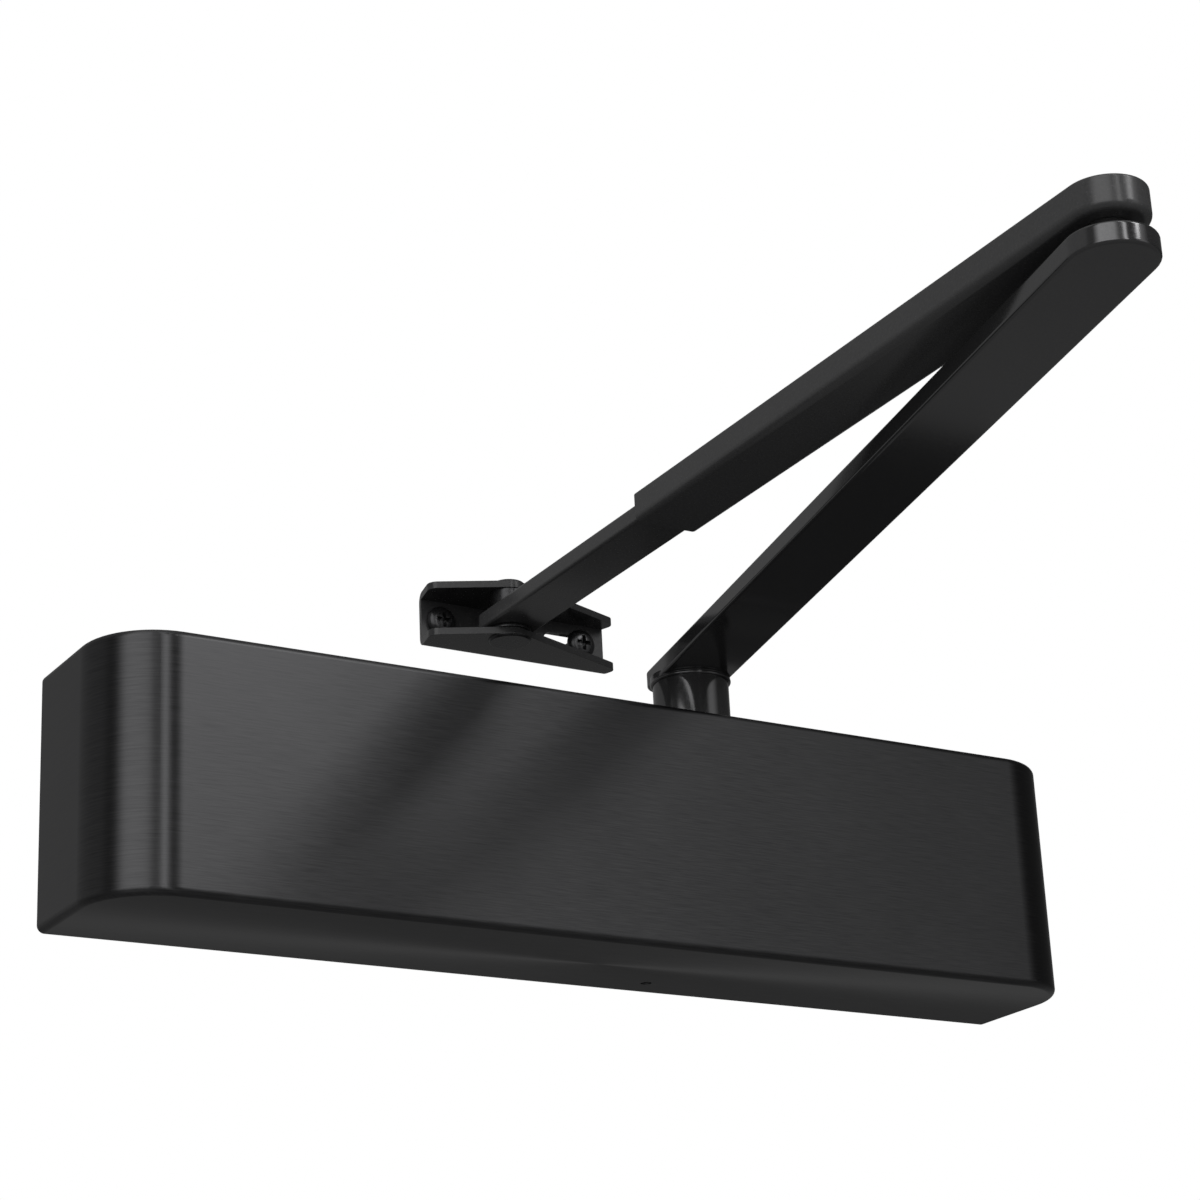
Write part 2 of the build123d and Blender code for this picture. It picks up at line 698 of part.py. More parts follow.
def make_sleeve():
    """Outer channel of the forearm: closed below, slotted on top, open towards the shoe."""
    half = sleeve_width / 2
    outline = Pos(sleeve_length / 2, 0) * Rectangle(sleeve_length, sleeve_width)
    outline += Circle(half)
    sleeve = slab(outline, sleeve_bottom, sleeve_top)
    end = sleeve_length - 0.01
    sleeve = fillet([e for e in edges_at(sleeve, sleeve_bottom) if e.center().X < end],
                    sleeve_bottom_radius)
    sleeve = fillet([e for e in edges_at(sleeve, sleeve_top) if e.center().X < end],
                    sleeve_top_radius)
    inner = sleeve_width - 2 * sleeve_wall
    room = (Pos(sleeve_length / 2 + 1, 0) * Rectangle(sleeve_length + 2, inner)
            + Circle(inner / 2))
    sleeve -= slab(room, sleeve_bottom + sleeve_web, sleeve_top - sleeve_web)
    slot = (Pos(sleeve_length / 2 + 1, 0) * Rectangle(sleeve_length + 2, sleeve_slot)
            + Circle(sleeve_slot / 2))
    sleeve -= slab(slot, sleeve_top - sleeve_web - 1, sleeve_top + 1)
    sleeve -= post(0, 0, sleeve_bottom - 1, sleeve_top + 1, knuckle_pin_radius + running_fit)
    save("forearm_sleeve", forearm_place * sleeve)

    start = sleeve_length - bridge_inset - bridge_length
    middle = start + bridge_length / 2
    bridge = block(start, start + bridge_length, -bridge_width / 2, bridge_width / 2,
                   sleeve_top, sleeve_top + bridge_thickness)
    bridge = fillet(bridge.edges().filter_by(Axis.Z), 2.0)
    bridge -= post(middle, 0, sleeve_top - 1, sleeve_top + bridge_thickness + 1,
                   clamp_screw_radius + thread_fit)
    save("clamp_bridge", forearm_place * bridge)

    screw_top = sleeve_top + clamp_screw_stand
    screw = post(middle, 0, bar_top + 0.1, screw_top, clamp_screw_radius)
    screw -= slab(Pos(middle, 0) * hexagon(clamp_screw_key), screw_top - 2.2, screw_top + 1)
    save("clamp_screw", forearm_place * screw)


def make_bar():
    """Flat bar that slides in the channel, with the eye for the shoe pin."""
    start = sleeve_length - bar_overlap
    end = forearm_length + bar_end
    outline = Pos((start + end) / 2, 0) * Rectangle(end - start, bar_width)
    tips = [v for v in outline.vertices() if v.X > end - 1]
    outline = fillet(tips, bar_end_radius)
    bar = slab(outline, bar_bottom, bar_top)
    bar = fillet(edges_at(bar, bar_bottom) + edges_at(bar, bar_top), bar_edge_radius)
    bar -= post(forearm_length, 0, bar_bottom - 1, bar_top + 1, shoe_pin_radius + running_fit)
    save("forearm_bar", forearm_place * bar)


def flange_outline():
    """Shoe flange in plan, from the wall face out round the pin."""
    circles = [(0, 0, shoe_nose), shoe_left_lobe, shoe_right_lobe]
    edges = [Pos(x, y) * Edge.make_circle(r) for x, y, r in circles]
    edges.append(Edge.make_line((-shoe_left, shoe_back), (shoe_right, shoe_back)))
    return make_hull(edges)


def make_shoe():
    """Pressed channel bracket: a wall plate between two shaped flanges."""
    at_pin = Pos(shoe_x, shoe_y)
    left, right = -shoe_left - 5, shoe_right + 5
    channel = block(left, right, -2 * shoe_nose, shoe_back, shoe_bottom, shoe_top)
    bends = [e for e in channel.edges().filter_by(Axis.X) if e.center().Y > shoe_back - 1]
    channel = fillet(bends, shoe_bend_radius)
    channel -= block(left - 1, right + 1, -2 * shoe_nose - 1, shoe_back - shoe_sheet,
                     shoe_bottom + shoe_sheet, shoe_top - shoe_sheet)
    shoe = channel & slab(flange_outline(), shoe_bottom, shoe_top)
    shoe -= post(0, 0, shoe_bottom - 1, shoe_top + 1, shoe_pin_radius + running_fit)
    near, far = shoe_back - shoe_sheet - 1, shoe_back + 1
    shoe -= bar_y(shoe_hole_left, shoe_mid_z, near, far, shoe_screw_radius + 0.2)
    low, high = shoe_slot_start + shoe_slot_half_height, shoe_slot_end - shoe_slot_half_height
    shoe -= block(low, high, near, far, shoe_mid_z - shoe_slot_half_height,
                  shoe_mid_z + shoe_slot_half_height)
    for x in (low, high):
        shoe -= bar_y(x, shoe_mid_z, near, far, shoe_slot_half_height)
    save("shoe", at_pin * shoe)

    pin = post(0, 0, shoe_bottom - shoe_head, shoe_bottom, shoe_head_radius - 0.5,
               shoe_head_radius)
    pin += post(0, 0, shoe_bottom, shoe_top, shoe_pin_radius)
    pin += post(0, 0, shoe_top, shoe_top + shoe_head, shoe_tail_radius, shoe_tail_radius - 0.6)
    save("shoe_pin", at_pin * pin)

    washer_low = shoe_bottom + shoe_sheet
    washer = post(0, 0, washer_low, washer_low + shoe_washer, shoe_washer_radius)
    washer -= post(0, 0, washer_low - 1, washer_low + 2, shoe_pin_radius + running_fit)
    save("shoe_washer", at_pin * washer)
    bush_top = shoe_top - shoe_sheet
    bush = post(0, 0, bar_top + seat_gap, bush_top, shoe_bush_radius)
    bush += post(0, 0, bar_top + seat_gap, bar_top + seat_gap + 1.0, shoe_bush_radius + 1.2)
    bush -= post(0, 0, bar_top - 1, bush_top + 1, shoe_pin_radius + running_fit)
    save("shoe_bush", at_pin * bush)

    screws = []
    seat = shoe_back - shoe_sheet
    for x in (shoe_hole_left, shoe_screw_right):
        head = bar_y(x, shoe_mid_z, seat - shoe_screw_head, seat, shoe_screw_head_radius)
        crown = [e for e in head.edges() if abs(e.center().Y - seat + shoe_screw_head) < 0.01]
        head = fillet(crown, 1.6)
        screw = head + bar_y(x, shoe_mid_z, seat, shoe_back, shoe_screw_neck)
        screw += bar_y(x, shoe_mid_z, shoe_back, seat + shoe_screw_length, shoe_screw_radius)
        for turn in (45, 135):
            slot = Pos(x, seat - shoe_screw_head + 0.7, shoe_mid_z) * Rot(0, turn, 0)
            screw -= slot * Box(5.0, 1.6, 1.1)
        screws.append(screw)
    save("shoe_screws", *[at_pin * screw for screw in screws])


os.makedirs("parts", exist_ok=True)
make_cover()
make_plate()
make_clips()
make_body()
make_end_caps()
make_adjuster()
make_spring()
make_piston()
make_spindle()
make_valves()
make_main_arm()
make_knuckle()
make_sleeve()
make_bar()
make_shoe()
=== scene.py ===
import json
import math

import bmesh
import bpy
from mathutils import Matrix, Vector


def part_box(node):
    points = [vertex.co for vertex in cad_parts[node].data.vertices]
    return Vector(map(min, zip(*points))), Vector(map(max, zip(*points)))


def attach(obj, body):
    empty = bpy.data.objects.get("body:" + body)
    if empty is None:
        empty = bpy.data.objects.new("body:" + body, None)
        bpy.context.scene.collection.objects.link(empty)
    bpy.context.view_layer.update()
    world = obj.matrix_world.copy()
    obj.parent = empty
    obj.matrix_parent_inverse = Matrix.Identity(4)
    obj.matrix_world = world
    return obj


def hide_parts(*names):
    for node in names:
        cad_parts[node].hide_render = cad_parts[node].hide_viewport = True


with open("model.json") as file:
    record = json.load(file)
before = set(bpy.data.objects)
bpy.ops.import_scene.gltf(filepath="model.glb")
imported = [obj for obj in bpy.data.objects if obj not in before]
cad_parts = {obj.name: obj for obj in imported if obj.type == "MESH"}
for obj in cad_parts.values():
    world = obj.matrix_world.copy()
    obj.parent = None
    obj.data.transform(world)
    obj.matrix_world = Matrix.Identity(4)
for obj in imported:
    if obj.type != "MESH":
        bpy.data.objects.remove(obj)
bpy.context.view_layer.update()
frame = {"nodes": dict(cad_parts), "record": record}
nodes = frame["nodes"]
bodyOf = {n: b for b, names in frame["record"]["behaviour"]["bodies"].items() for n in names}
mm = 0.001


def middle(node):
    low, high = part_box(node)
    return (Vector(low) + Vector(high)) / 2


view = {
    "place": (-0.41119, -0.69055, -0.22909),
    "heading": 0.567,      # from +Y towards +X
    "rise": 0.364,
    "roll": -0.051,
    "lens": 89.38,
    "shift": (-0.01895, 0.0017),
}


def makeCamera():
    heading, rise, roll = view["heading"], view["rise"], view["roll"]
    ahead = Vector((math.sin(heading) * math.cos(rise), math.cos(heading) * math.cos(rise),
                    math.sin(rise)))
    level = ahead.cross(Vector((0, 0, 1))).normalized()
    above = level.cross(ahead)
    right = level * math.cos(roll) + above * math.sin(roll)
    up = above * math.cos(roll) - level * math.sin(roll)
    data = bpy.data.cameras.new("camera")
    data.lens, data.sensor_width = view["lens"], 36
    data.shift_x, data.shift_y = view["shift"]
    data.clip_start, data.clip_end = 0.01, 50
    camera = bpy.data.objects.new("camera", data)
    turn = Matrix((right, up, -ahead)).transposed().to_4x4()
    camera.matrix_world = Matrix.Translation(view["place"]) @ turn
    bpy.context.scene.collection.objects.link(camera)
    bpy.context.scene.camera = camera


makeCamera()
print("camera ready")


studio = {
    # turn round the object from the front towards the right, in degrees, and brightness
    "walls": [(-180, 0.22), (-99, 0.22), (-91, 0.09), (-78, 0.08), (-65, 1.40), (-30, 1.25),
              (-20, 0.25), (-12, 0.25), (-7, 2.7), (-4, 2.7), (0, 0.05), (14, 0.06),
              (22, 0.50), (33, 0.60), (42, 0.38), (54, 0.06), (110, 0.05), (130, 0.15),
              (160, 0.22), (180, 0.22)],
    "below": 0.13,
    "belowFrom": (-0.05, -0.30),   # heights of the direction, from level to straight down
    "aboveFrom": (0.80, 0.98),
    "above": 0.35,
    "keyTowards": (0.415, -1.0, 0.705),
    "keyDistance": 2.6,
    "keySize": 0.7,
    "keyPower": 6.6,
}


def makeWorld():
    world = bpy.data.worlds.new("studio")
    world.use_nodes = True
    tree = world.node_tree
    tree.nodes.clear()
    put = tree.nodes.new
    link = tree.links.new
    place = put("ShaderNodeTexCoord")
    parts = put("ShaderNodeSeparateXYZ")
    link(place.outputs["Generated"], parts.inputs[0])
    flip = put("ShaderNodeMath")
    flip.operation = "MULTIPLY"
    flip.inputs[1].default_value = -1
    link(parts.outputs["Y"], flip.inputs[0])
    turn = put("ShaderNodeMath")
    turn.operation = "ARCTAN2"
    link(parts.outputs["X"], turn.inputs[0])
    link(flip.outputs[0], turn.inputs[1])
    span = put("ShaderNodeMapRange")
    span.inputs["From Min"].default_value = -math.pi
    span.inputs["From Max"].default_value = math.pi
    link(turn.outputs[0], span.inputs["Value"])
    ramp = put("ShaderNodeValToRGB")
    stops = ramp.color_ramp.elements
    while len(stops) > 1:
        stops.remove(stops[-1])
    for index, (angle, level) in enumerate(studio["walls"]):
        where = angle / 360 + 0.5
        stop = stops[0] if index == 0 else stops.new(where)
        stop.position = where
        stop.color = (level, level, level, 1)
    link(span.outputs[0], ramp.inputs[0])
    # the walls give way to floor and ceiling
    low = put("ShaderNodeMapRange")
    low.interpolation_type = "SMOOTHSTEP"
    low.inputs["From Min"].default_value = studio["belowFrom"][0]
    low.inputs["From Max"].default_value = studio["belowFrom"][1]
    link(parts.outputs["Z"], low.inputs["Value"])
    mixLow = put("ShaderNodeMix")
    mixLow.data_type = "RGBA"
    mixLow.inputs["B"].default_value = (studio["below"],) * 3 + (1,)
    link(low.outputs[0], mixLow.inputs["Factor"])
    link(ramp.outputs[0], mixLow.inputs["A"])
    high = put("ShaderNodeMapRange")
    high.interpolation_type = "SMOOTHSTEP"
    high.inputs["From Min"].default_value = studio["aboveFrom"][0]
    high.inputs["From Max"].default_value = studio["aboveFrom"][1]
    link(parts.outputs["Z"], high.inputs["Value"])
    mixHigh = put("ShaderNodeMix")
    mixHigh.data_type = "RGBA"
    mixHigh.inputs["B"].default_value = (studio["above"],) * 3 + (1,)
    link(high.outputs[0], mixHigh.inputs["Factor"])
    link(mixLow.outputs["Result"], mixHigh.inputs["A"])
    seen = put("ShaderNodeLightPath")
    lighting = put("ShaderNodeBackground")
    link(mixHigh.outputs["Result"], lighting.inputs["Color"])
    backdrop = put("ShaderNodeBackground")
    backdrop.inputs["Color"].default_value = (1, 1, 1, 1)
    pick = put("ShaderNodeMixShader")
    link(seen.outputs["Is Camera Ray"], pick.inputs[0])
    link(lighting.outputs[0], pick.inputs[1])
    link(backdrop.outputs[0], pick.inputs[2])
    out = put("ShaderNodeOutputWorld")
    link(pick.outputs[0], out.inputs[0])
    bpy.context.scene.world = world


def makeKey():
    aim = middle("cover")
    towards = Vector(studio["keyTowards"]).normalized()
    data = bpy.data.lights.new("key", "AREA")
    data.shape = "DISK"
    data.size = studio["keySize"]
    data.energy = studio["keyPower"]
    lamp = bpy.data.objects.new("key", data)
    lamp.rotation_mode = "QUATERNION"
    lamp.rotation_quaternion = towards.to_track_quat("Z", "Y")
    lamp.location = aim + towards * studio["keyDistance"]
    lamp.visible_camera = False
    bpy.context.scene.collection.objects.link(lamp)


makeWorld()
makeKey()
scene = bpy.context.scene
scene.view_settings.view_transform = "Standard"
print("light ready")


def newGroup(name, inputs, outputs):
    tree = bpy.data.node_groups.new(name, "ShaderNodeTree")
    for title, kind, value in inputs:
        socket = tree.interface.new_socket(title, in_out="INPUT", socket_type=kind)
        if value is not None:
            socket.default_value = value
    for title, kind in outputs:
        tree.interface.new_socket(title, in_out="OUTPUT", socket_type=kind)
    return tree, tree.nodes.new("NodeGroupInput"), tree.nodes.new("NodeGroupOutput")


def mathNode(tree, kind, a, b=None, clamp=False):
    node = tree.nodes.new("ShaderNodeMath")
    node.operation = kind
    node.use_clamp = clamp
    for socket, value in zip(node.inputs, (a, b)):
        if value is None:
            continue
        if isinstance(value, (int, float)):
            socket.default_value = value
        else:
            tree.links.new(value, socket)
    return node.outputs[0]


def noiseAt(tree, vector, scale, detail=2.0, roughness=0.5):
    node = tree.nodes.new("ShaderNodeTexNoise")
    node.inputs["Detail"].default_value = detail
    node.inputs["Roughness"].default_value = roughness
    if isinstance(scale, (int, float)):
        node.inputs["Scale"].default_value = scale
    else:
        tree.links.new(scale, node.inputs["Scale"])
    tree.links.new(vector, node.inputs["Vector"])
    return node.outputs["Fac"]


# brushed lines run level on upright faces and along the cover on its top and underside
grain = {
    "length": 110.0, "fineness": 3000.0, "flatFrom": 0.7, "detail": 3.0, "rough": 0.65,
    "cloud": 22.0, "cloudDetail": 3.0,
}


def makeBrushedGroup():
    tree, given, out = newGroup(
        "brushedGrain",
        [("Length", "NodeSocketFloat", grain["length"]),
         ("Fineness", "NodeSocketFloat", grain["fineness"])],
        [("Grain", "NodeSocketFloat"), ("Cloud", "NodeSocketFloat")])
    put, link = tree.nodes.new, tree.links.new
    place = put("ShaderNodeTexCoord")
    at = put("ShaderNodeSeparateXYZ")
    link(place.outputs["Object"], at.inputs[0])
    facing = put("ShaderNodeSeparateXYZ")
    link(place.outputs["Normal"], facing.inputs[0])
    steep = mathNode(tree, "ABSOLUTE", facing.outputs["Z"])
    flat = mathNode(tree, "GREATER_THAN", steep, grain["flatFrom"])
    across = put("ShaderNodeMix")
    link(flat, across.inputs["Factor"])
    link(at.outputs["Z"], across.inputs["A"])
    link(at.outputs["Y"], across.inputs["B"])
    along = put("ShaderNodeMix")
    link(flat, along.inputs["Factor"])
    link(at.outputs["Y"], along.inputs["A"])
    link(at.outputs["Z"], along.inputs["B"])
    stretched = put("ShaderNodeCombineXYZ")
    link(mathNode(tree, "MULTIPLY", at.outputs["X"], given.outputs["Length"]),
         stretched.inputs["X"])
    link(mathNode(tree, "MULTIPLY", along.outputs["Result"], given.outputs["Length"]),
         stretched.inputs["Y"])
    link(mathNode(tree, "MULTIPLY", across.outputs["Result"], given.outputs["Fineness"]),
         stretched.inputs["Z"])
    link(noiseAt(tree, stretched.outputs[0], 1.0, grain["detail"], grain["rough"]),
         out.inputs["Grain"])
    link(noiseAt(tree, place.outputs["Object"], grain["cloud"], grain["cloudDetail"]),
         out.inputs["Cloud"])
    return tree


speckle = {
    "fineness": 1400.0, "detail": 3.0, "rough": 0.6,
    "patches": 40.0, "patchDetail": 4.0, "patchRough": 0.55,
}


def makeSpeckleGroup():
    tree, given, out = newGroup(
        "fineSpeckle",
        [("Fineness", "NodeSocketFloat", speckle["fineness"]),
         ("Patches", "NodeSocketFloat", speckle["patches"])],
        [("Speckle", "NodeSocketFloat"), ("Patch", "NodeSocketFloat")])
    place = tree.nodes.new("ShaderNodeTexCoord")
    at = place.outputs["Object"]
    tree.links.new(noiseAt(tree, at, given.outputs["Fineness"], speckle["detail"],
                           speckle["rough"]), out.inputs["Speckle"])
    tree.links.new(noiseAt(tree, at, given.outputs["Patches"], speckle["patchDetail"],
                           speckle["patchRough"]), out.inputs["Patch"])
    return tree


brushed = makeBrushedGroup()
speckled = makeSpeckleGroup()


# how a finish uses its group's noise
mixing = {
    "noiseLow": 0.3, "noiseHigh": 0.7, "fineShare": 0.6, "broadShare": 0.4,
    "bumpDistance": 0.00005, "grainTurn": 0.25,
}


def ranged(tree, value, low, high):
    node = tree.nodes.new("ShaderNodeMapRange")
    tree.links.new(value, node.inputs["Value"])
    node.inputs["From Min"].default_value = mixing["noiseLow"]
    node.inputs["From Max"].default_value = mixing["noiseHigh"]
    node.inputs["To Min"].default_value = low
    node.inputs["To Max"].default_value = high
    return node.outputs[0]


def tinted(tree, mask, dark, light):
    node = tree.nodes.new("ShaderNodeMix")
    node.data_type = "RGBA"
    tree.links.new(mask, node.inputs["Factor"])
    node.inputs["A"].default_value = (*dark, 1)
    node.inputs["B"].default_value = (*light, 1)
    return node.outputs["Result"]


def bumped(tree, height, strength):
    node = tree.nodes.new("ShaderNodeBump")
    node.inputs["Strength"].default_value = strength
    node.inputs["Distance"].default_value = mixing["bumpDistance"]
    tree.links.new(height, node.inputs["Height"])
    return node.outputs["Normal"]


def newMaterial(name, metallic):
    material = bpy.data.materials.new(name)
    material.use_nodes = True
    tree = material.node_tree
    shader = tree.nodes["Principled BSDF"]
    shader.inputs["Metallic"].default_value = metallic
    return material, tree, shader


# a finish for each slot, and arm_gloss and shoe_black for pieces with a look of their own
finishes = {
    "cover_black": {"group": "brushed", "metallic": 1.0, "dark": (0.054, 0.054, 0.056),
                    "light": (0.108, 0.108, 0.110), "rough": (0.30, 0.38), "bump": 0.10,
                    "Anisotropic": 0.8},
    "arm_black": {"group": "speckled", "metallic": 0.1, "dark": (0.072, 0.072, 0.073),
                  "light": (0.100, 0.100, 0.102), "rough": (0.20, 0.28), "bump": 0.04},
    "shoe_black": {"group": "speckled", "metallic": 0.2, "dark": (0.042, 0.042, 0.043),
                   "light": (0.062, 0.062, 0.063), "rough": (0.20, 0.28), "bump": 0.05},
    "arm_gloss": {"group": "speckled", "metallic": 0.8, "dark": (0.122, 0.122, 0.124),
                  "light": (0.150, 0.150, 0.152), "rough": (0.10, 0.15), "bump": 0.008},
    "blackened_steel": {"group": "speckled", "metallic": 0.8, "dark": (0.045, 0.045, 0.047),
                        "light": (0.080, 0.080, 0.082), "rough": (0.24, 0.34), "bump": 0.05},
    "zinc_steel": {"group": "speckled", "metallic": 1.0, "dark": (0.38, 0.38, 0.37),
                   "light": (0.66, 0.66, 0.64), "rough": (0.24, 0.44), "bump": 0.12},
    "cast_aluminium": {"group": "speckled", "metallic": 0.9, "dark": (0.40, 0.40, 0.41),
                       "light": (0.58, 0.58, 0.59), "rough": (0.42, 0.60), "bump": 0.35},
    "bearing_steel": {"group": "brushed", "metallic": 1.0, "dark": (0.55, 0.55, 0.56),
                      "light": (0.68, 0.68, 0.69), "rough": (0.14, 0.24), "bump": 0.03},
    "spring_steel": {"group": "speckled", "metallic": 1.0, "dark": (0.18, 0.18, 0.20),
                     "light": (0.30, 0.30, 0.31), "rough": (0.26, 0.40), "bump": 0.05},
    "rubber": {"group": "speckled", "metallic": 0.0, "dark": (0.010, 0.010, 0.010),
               "light": (0.022, 0.022, 0.022), "rough": (0.55, 0.75), "bump": 0.1},
    "brass": {"group": "speckled", "metallic": 1.0, "dark": (0.60, 0.42, 0.16),
              "light": (0.74, 0.54, 0.24), "rough": (0.2, 0.34), "bump": 0.03},
}


def makeFinish(name, look):
    material, tree, shader = newMaterial(name, look["metallic"])
    group = tree.nodes.new("ShaderNodeGroup")
    if look["group"] == "brushed":
        group.node_tree = brushed
        fine, broad = group.outputs["Grain"], group.outputs["Cloud"]
    else:
        group.node_tree = speckled
        fine, broad = group.outputs["Speckle"], group.outputs["Patch"]
    mixed = mathNode(tree, "MULTIPLY_ADD", broad, mixing["broadShare"])
    tree.links.new(ranged(tree, fine, 0.0, mixing["fineShare"]), mixed.node.inputs[2])
    tree.links.new(tinted(tree, mixed, look["dark"], look["light"]),
                   shader.inputs["Base Color"])
    tree.links.new(ranged(tree, fine, *look["rough"]), shader.inputs["Roughness"])
    tree.links.new(bumped(tree, fine, look["bump"]), shader.inputs["Normal"])
    if "Anisotropic" in look:
        shader.inputs["Anisotropic"].default_value = look["Anisotropic"]
        shader.inputs["Anisotropic Rotation"].default_value = mixing["grainTurn"]
        tangent = tree.nodes.new("ShaderNodeTangent")
        tangent.direction_type = "RADIAL"
        tangent.axis = "Z"
        tree.links.new(tangent.outputs[0], shader.inputs["Tangent"])
    return material


materials = {name: makeFinish(name, look) for name, look in finishes.items()}
print("finishes ready")


def newPiece(name, mesh):
    piece = bpy.data.objects.new(name, mesh)
    scene.collection.objects.link(piece)
    return piece


def applyModifiers(piece):
    graph = bpy.context.evaluated_depsgraph_get()
    mesh = bpy.data.meshes.new_from_object(piece.evaluated_get(graph), depsgraph=graph)
    mesh.name = piece.name
    piece.modifiers.clear()
    piece.data = mesh


def smoothed(mesh, angle):
    mesh.shade_smooth()
    mesh.set_sharp_from_angle(angle=math.radians(angle))


def softEdges(piece, width, angle=38, segments=2):
    bevel = piece.modifiers.new("edges", "BEVEL")
    bevel.width = width
    bevel.segments = segments
    bevel.limit_method = "ANGLE"
    bevel.angle_limit = math.radians(angle)
    bevel.use_clamp_overlap = True
    bevel.harden_normals = False
    bevel.miter_outer = "MITER_ARC"
    applyModifiers(piece)
    smoothed(piece.data, angle)
    normals = piece.modifiers.new("normals", "WEIGHTED_NORMAL")
    normals.keep_sharp = True
    normals.weight = 80
    applyModifiers(piece)


# merging distances in metres and the bend in degrees up to which faces join
cleaning = {"weld": 2e-6, "sliver": 1e-6, "flat": 0.4, "seam": 1e-8}


def cleanCopy(node):
    bm = bmesh.new()
    bm.from_mesh(nodes[node].data)
    bmesh.ops.remove_doubles(bm, verts=bm.verts, dist=cleaning["weld"])
    bmesh.ops.dissolve_degenerate(bm, edges=bm.edges, dist=cleaning["sliver"])
    bmesh.ops.dissolve_limit(bm, angle_limit=math.radians(cleaning["flat"]), verts=bm.verts,
                             edges=bm.edges)
    mesh = bpy.data.meshes.new(node)
    bm.to_mesh(mesh)
    bm.free()
    return newPiece(node + "Finished", mesh)


def settle(piece, node):
    slot = slotOf[node]
    piece.data.materials.clear()
    piece.data.materials.append(materials[special.get(node, slot)])
    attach(piece, bodyOf[node])
    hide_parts(node)


# a profile of radius and height in millimetres, turned round Z
def lathe(profile, segments):
    bm = bmesh.new()
    rings = []
    for radius, height in profile:
        if radius == 0:
            rings.append([bm.verts.new((0, 0, height * mm))])
            continue
        rings.append([bm.verts.new((radius * mm * math.cos(turn), radius * mm * math.sin(turn),
                                    height * mm))
                      for turn in (2 * math.pi * k / segments for k in range(segments))])
    for low, high in zip(rings, rings[1:]):
        for k in range(segments):
            nxt = (k + 1) % segments
            if len(low) == 1:
                bm.faces.new((low[0], high[nxt], high[k]))
            elif len(high) == 1:
                bm.faces.new((low[k], low[nxt], high[0]))
            else:
                bm.faces.new((low[k], low[nxt], high[nxt], high[k]))
    bmesh.ops.remove_doubles(bm, verts=bm.verts, dist=cleaning["seam"])
    bmesh.ops.recalc_face_normals(bm, faces=bm.faces)
    mesh = bpy.data.meshes.new("turned")
    bm.to_mesh(mesh)
    bm.free()
    return mesh


def cut(piece, tool):
    action = piece.modifiers.new("cut", "BOOLEAN")
    action.operation = "DIFFERENCE"
    action.solver = "EXACT"
    action.object = tool
    applyModifiers(piece)
    bpy.data.objects.remove(tool)


# pieces with a look of their own within their slot
special = {"main_arm": "arm_gloss", "knuckle_washer": "arm_gloss", "shoe": "shoe_black"}
slotOf = {}
for name, item in nodes.items():
    old = item.data.materials[0].name if item.data.materials else "arm_black"
    slotOf[name] = old.split(".")[0]
    item.data.materials[0] = materials[slotOf[name]]

# edge softness in millimetres; a node left out keeps its own mesh and gets the finish only
edges = {
    "cover": 0.25, "main_arm": 0.2, "forearm_sleeve": 0.25, "forearm_bar": 0.2,
    "shoe": 0.35, "clamp_bridge": 0.25, "clamp_screw": 0.12, "arm_screw": 0.12,
    "shoe_pin": 0.15, "shoe_washer": 0.12, "shoe_bush": 0.15, "knuckle_washer": 0.12,
    "knuckle_pin": 0.12, "mounting_plate": 0.3, "cover_clips": 0.2, "closer_body": 0.5,
    "left_end_cap": 0.3, "right_end_cap": 0.3, "top_gland": 0.2, "bottom_gland": 0.2,
    "spindle": 0.2, "power_adjuster": 0.2, "cover_screw": 0.12, "closing_valve": 0.15,
    "latching_valve": 0.15, "backcheck_valve": 0.15,
}
for node, width in edges.items():
    piece = cleanCopy(node)
    softEdges(piece, width * mm)
    settle(piece, node)
print("edges softened on", len(edges), "pieces")


def copiesTree():
    tree = bpy.data.node_groups.new("placeCopies", "GeometryNodeTree")
    add = tree.interface.new_socket
    add("Places", in_out="INPUT", socket_type="NodeSocketGeometry")
    add("Template", in_out="INPUT", socket_type="NodeSocketObject")
    add("Turn", in_out="INPUT", socket_type="NodeSocketVector")
    add("Finish", in_out="INPUT", socket_type="NodeSocketMaterial")
    add("Copies", in_out="OUTPUT", socket_type="NodeSocketGeometry")
    put, link = tree.nodes.new, tree.links.new
    given, out = put("NodeGroupInput"), put("NodeGroupOutput")
    template = put("GeometryNodeObjectInfo")
    link(given.outputs["Template"], template.inputs["Object"])
    spread = put("GeometryNodeInstanceOnPoints")
    link(given.outputs["Places"], spread.inputs["Points"])
    link(template.outputs["Geometry"], spread.inputs["Instance"])
    link(given.outputs["Turn"], spread.inputs["Rotation"])
    solid = put("GeometryNodeRealizeInstances")
    link(spread.outputs[0], solid.inputs[0])
    paint = put("GeometryNodeSetMaterial")
    link(solid.outputs[0], paint.inputs["Geometry"])
    link(given.outputs["Finish"], paint.inputs["Material"])
    link(paint.outputs[0], out.inputs[0])
    return tree


copies = copiesTree()


def setInput(modifier, title, value):
    for item in modifier.node_group.interface.items_tree:
        if item.item_type == "SOCKET" and item.in_out == "INPUT" and item.name == title:
            modifier[item.identifier] = value


def placeCopies(name, template, places, turn, slot):
    mesh = bpy.data.meshes.new(name)
    mesh.from_pydata([tuple(p) for p in places], [], [])
    piece = newPiece(name, mesh)
    modifier = piece.modifiers.new("copies", "NODES")
    modifier.node_group = copies
    setInput(modifier, "Template", template)
    setInput(modifier, "Turn", turn)
    setInput(modifier, "Finish", materials[slot])
    applyModifiers(piece)
    smoothed(piece.data, 32)
    bpy.data.objects.remove(template)
    return piece


# shares of the pitch for a thread's crest and root, and its blunt tip in millimetres
thread = {"crestEnd": 0.12, "root": 0.5, "rootEnd": 0.62, "tip": 0.5}


